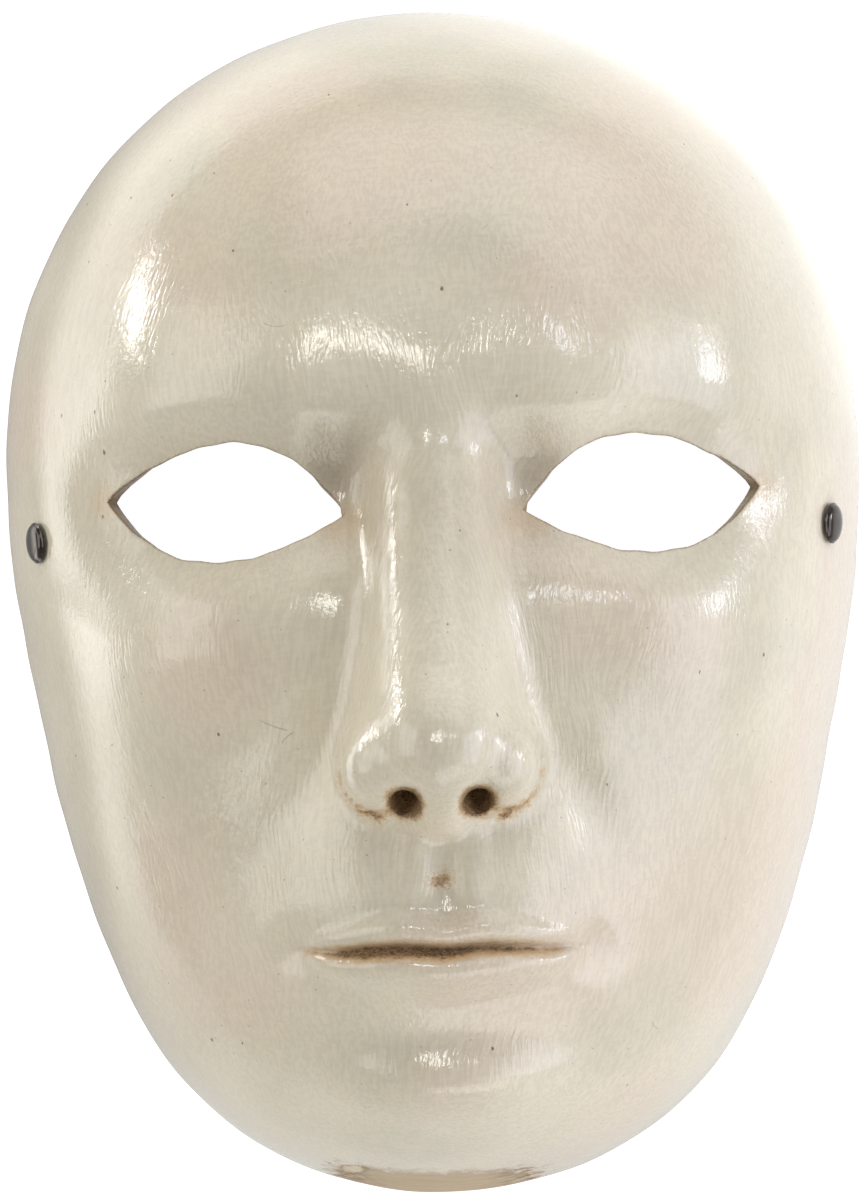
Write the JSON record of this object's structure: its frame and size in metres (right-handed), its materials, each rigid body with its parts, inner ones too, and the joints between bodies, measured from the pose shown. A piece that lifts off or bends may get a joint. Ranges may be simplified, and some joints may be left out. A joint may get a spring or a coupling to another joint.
{
  "type": "volto mask",
  "caption": "Full-face papier-mache volto mask, hollow, with cut-out almond eyes, nostrils, closed lips and a dome rivet at each temple; it lies on its rim.",
  "frame": {"origin": "middle of the flat rim plane, half way between forehead and chin ends and between the two sides", "axes": "+Z out of the face, up when the mask lies on its rim; +Y from chin to forehead; +X to the viewer's right"},
  "size_m": [0.17, 0.235, 0.0955],
  "materials": {
    "painted_shell": "gloss",
    "rivet_metal": "satin"
  },
  "bodies": {
    "root": {"mask_shell": "painted_shell", "rivet_left": "rivet_metal", "rivet_right": "rivet_metal"}
  },
  "joints": []
}
